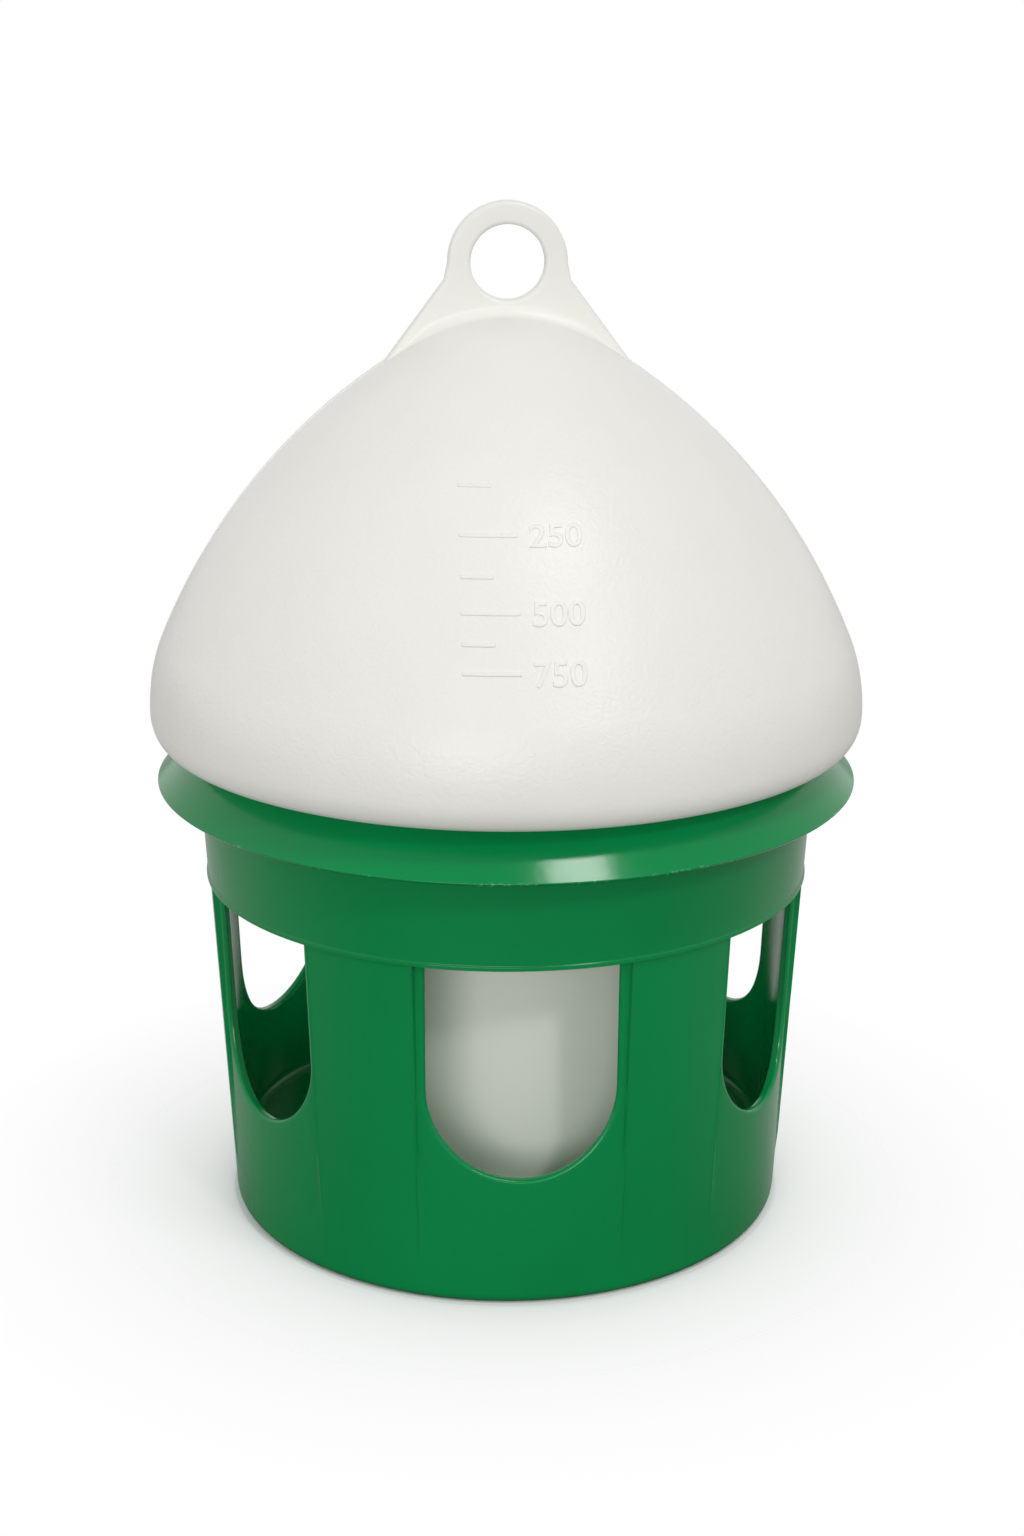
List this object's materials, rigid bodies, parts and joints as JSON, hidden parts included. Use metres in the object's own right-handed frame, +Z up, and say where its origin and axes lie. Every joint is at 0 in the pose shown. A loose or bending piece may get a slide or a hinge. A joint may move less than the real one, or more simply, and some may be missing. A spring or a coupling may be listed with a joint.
{
  "type": "pigeon waterer",
  "caption": "Pigeon waterer: a domed plastic bottle with a hanging ring stands upside down in a drinking base with feeding windows under a rain skirt.",
  "frame": {"origin": "middle of the ring that the base stands on, at floor level", "axes": "+Z up along the vessel's axis; -Y through the middle of the front window; the flat hanging tab lies in the XZ plane"},
  "size_m": [0.1884, 0.1884, 0.2694],
  "materials": {
    "green_polypropylene": "injection moulded, semi-gloss",
    "natural_polyethylene": "blow moulded, satin, slightly translucent"
  },
  "bodies": {
    "base": {"trough_floor": "green_polypropylene", "trough_wall": "green_polypropylene", "window_pillar_1": "green_polypropylene", "window_pillar_2": "green_polypropylene", "window_pillar_3": "green_polypropylene", "window_pillar_4": "green_polypropylene", "window_pillar_5": "green_polypropylene", "window_pillar_6": "green_polypropylene", "collar": "green_polypropylene", "rain_skirt": "green_polypropylene", "locking_ledge_1": "green_polypropylene", "locking_ledge_2": "green_polypropylene", "locking_ledge_3": "green_polypropylene"},
    "bottle": {"domed_body": "natural_polyethylene", "bottle_shoulder": "natural_polyethylene", "bottle_neck": "natural_polyethylene", "hanging_tab": "natural_polyethylene"}
  },
  "joints": [
    {"name": "bottle_lift", "type": "slide", "parent": "base", "child": "bottle", "axis": [0, 0, 1], "range_m": [0, 0.13]}
  ]
}
